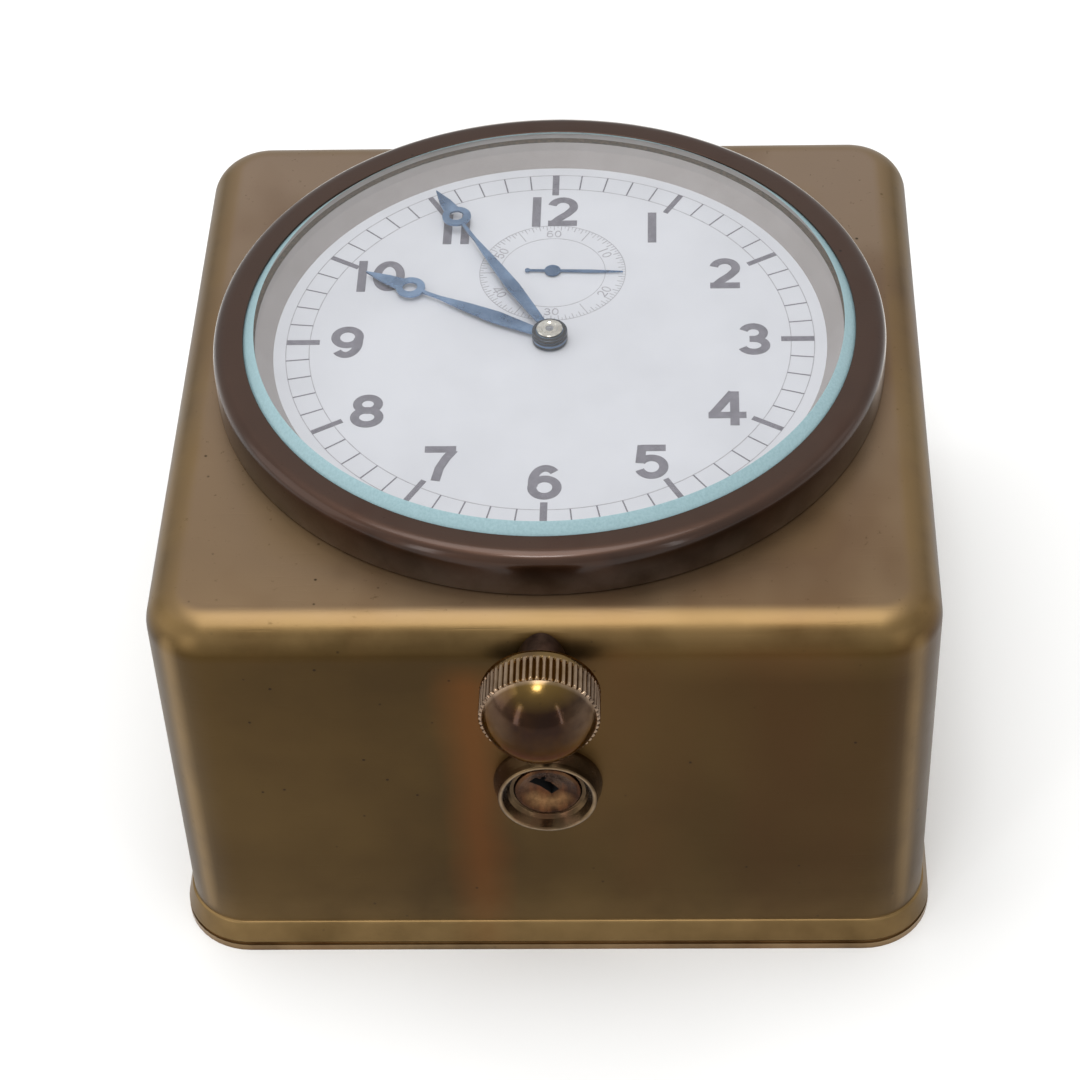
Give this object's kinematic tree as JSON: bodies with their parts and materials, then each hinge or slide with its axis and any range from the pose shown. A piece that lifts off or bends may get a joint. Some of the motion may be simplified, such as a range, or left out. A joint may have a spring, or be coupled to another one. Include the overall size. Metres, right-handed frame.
{
  "type": "car clock",
  "caption": "Box-cased dashboard clock with domed winding knob below the dial, keyed case lock, hinged mounting plate and a complete jewel-free lever movement.",
  "frame": {"origin": "centre of the mounting plate's underside", "axes": "+Z out of the mounting face towards the dial, +Y towards twelve o'clock and the hinge, -Y towards the knob and lock"},
  "size_m": [0.092, 0.1087, 0.0622],
  "materials": {
    "drawn_brass": "brown patina on drawn brass",
    "turned_bronze": "glossy dark brown",
    "plate_brass": "satin",
    "nickel": "frosted nickel",
    "steel": "polished",
    "blued_steel": "heat-blued",
    "wheel_brass": "gilt",
    "glass": "clear",
    "cork": "matte",
    "grey_paint": "semi-gloss",
    "dial_paint": "white enamel paint",
    "knob_brass": "polished under brown patina",
    "copper": "worn copper colour"
  },
  "bodies": {
    "base": {"base_plate": "drawn_brass", "base_hinge_lugs": "drawn_brass", "lug_rivets": "drawn_brass", "hinge_pin": "steel", "lock_keeper": "steel", "keeper_rivets": "drawn_brass"},
    "case": {"case_shell": "drawn_brass", "case_hinge_leaf": "drawn_brass", "leaf_rivets": "drawn_brass", "bezel": "turned_bronze", "glass": "glass", "glass_gasket": "cork", "reflector_ring": "grey_paint", "dial": "dial_paint", "bezel_nut": "plate_brass", "movement_ring": "nickel", "retaining_ring": "nickel", "main_plate": "nickel", "barrel_bridge": "nickel", "train_bridge": "nickel", "balance_cock": "nickel", "bridge_screws": "blued_steel", "movement_screws": "blued_steel", "stem_collar": "turned_bronze", "lock_body": "turned_bronze", "lock_nut": "plate_brass", "crown_screw": "blued_steel"},
    "lock_turner": {"lock_plug": "copper", "lock_cam": "steel"},
    "pinion_slider": {"winding_pinion": "steel"},
    "stem_and_knob": {"winding_stem": "steel", "winding_knob": "knob_brass"},
    "crown": {"crown_wheel": "steel"},
    "ratchet": {"ratchet_wheel": "steel", "barrel_arbor": "steel"},
    "click": {"click": "steel"},
    "barrel": {"barrel_drum": "plate_brass", "barrel_cover": "plate_brass", "mainspring": "blued_steel"},
    "centre": {"centre_wheel": "wheel_brass", "centre_pinion": "steel", "cannon_pinion": "steel", "minute_hand": "blued_steel", "hand_nut": "nickel"},
    "hour": {"hour_wheel": "wheel_brass", "hour_hand": "blued_steel"},
    "motion": {"minute_wheel": "wheel_brass"},
    "third": {"third_wheel": "wheel_brass", "third_pinion": "steel"},
    "fourth": {"fourth_wheel": "wheel_brass", "fourth_pinion": "steel", "seconds_hand": "blued_steel"},
    "escape": {"escape_wheel": "steel", "escape_pinion": "steel"},
    "pallet": {"pallet_lever": "steel"},
    "balance": {"balance_wheel": "wheel_brass", "hairspring": "blued_steel"}
  },
  "joints": [
    {"name": "case_hinge", "type": "hinge", "parent": "base", "child": "case", "pos_m": [0, 0.048, 0.0032], "axis": [-1, 0, 0], "range_deg": [0, 90]},
    {"name": "lock_turn", "type": "hinge", "parent": "case", "child": "lock_turner", "pos_m": [0, -0.045, 0.0304], "axis": [0, -1, 0], "range_deg": [0, 90]},
    {"name": "knob_turn", "type": "hinge", "parent": "case", "child": "pinion_slider", "pos_m": [0, -0.022, 0.0515], "axis": [0, -1, 0], "continuous": true},
    {"name": "knob_pull", "type": "slide", "parent": "pinion_slider", "child": "stem_and_knob", "axis": [0, -1, 0], "range_m": [0, 0.0016]},
    {"name": "crown_turn", "type": "hinge", "parent": "case", "child": "crown", "pos_m": [0, -0.01715, 0.0485], "axis": [0, 0, 1], "continuous": true},
    {"name": "ratchet_turn", "type": "hinge", "parent": "case", "child": "ratchet", "pos_m": [-0.0105, -0.00866, 0.0485], "axis": [0, 0, 1], "continuous": true},
    {"name": "click_lift", "type": "hinge", "parent": "case", "child": "click", "pos_m": [-0.0201, -0.01314, 0.0485], "axis": [0, 0, -1], "range_deg": [0, 8], "stiffness_Nm_per_rad": 0.00001},
    {"name": "minute_turn", "type": "hinge", "parent": "case", "child": "centre", "pos_m": [0, 0.0012, 0.0485], "axis": [0, 0, -1], "continuous": true},
    {"name": "hour_turn", "type": "hinge", "parent": "case", "child": "hour", "pos_m": [0, 0.0012, 0.0545], "axis": [0, 0, -1], "continuous": true},
    {"name": "motion_turn", "type": "hinge", "parent": "case", "child": "motion", "pos_m": [0.00194, -0.00604, 0.0545], "axis": [0, 0, -1], "continuous": true},
    {"name": "third_turn", "type": "hinge", "parent": "case", "child": "third", "pos_m": [0.00715, 0.0093, 0.0485], "axis": [0, 0, -1], "continuous": true},
    {"name": "seconds_turn", "type": "hinge", "parent": "case", "child": "fourth", "pos_m": [0, 0.0139, 0.0485], "axis": [0, 0, -1], "continuous": true},
    {"name": "escape_turn", "type": "hinge", "parent": "case", "child": "escape", "pos_m": [-0.00765, 0.01595, 0.0475], "axis": [0, 0, -1], "continuous": true},
    {"name": "barrel_turn", "type": "hinge", "parent": "case", "child": "barrel", "pos_m": [-0.0105, -0.00866, 0.0455], "axis": [0, 0, -1], "continuous": true},
    {"name": "lever_swing", "type": "hinge", "parent": "case", "child": "pallet", "pos_m": [-0.01195, 0.01339, 0.0475], "axis": [0, 0, 1], "range_deg": [-5, 5]},
    {"name": "balance_swing", "type": "hinge", "parent": "case", "child": "balance", "pos_m": [-0.019, 0.0092, 0.0425], "axis": [0, 0, 1], "range_deg": [-135, 135], "stiffness_Nm_per_rad": 0.000002, "deforming": ["hairspring"]}
  ],
  "couplings": [
    {"joint": "hour_turn", "follows": "minute_turn", "ratio": 0.083333},
    {"joint": "motion_turn", "follows": "minute_turn", "ratio": -0.33333},
    {"joint": "third_turn", "follows": "minute_turn", "ratio": -8},
    {"joint": "seconds_turn", "follows": "minute_turn", "ratio": 60},
    {"joint": "escape_turn", "follows": "minute_turn", "ratio": -480},
    {"joint": "barrel_turn", "follows": "minute_turn", "ratio": -0.125},
    {"joint": "crown_turn", "follows": "knob_turn", "ratio": 0.42857},
    {"joint": "ratchet_turn", "follows": "knob_turn", "ratio": -0.28571}
  ]
}
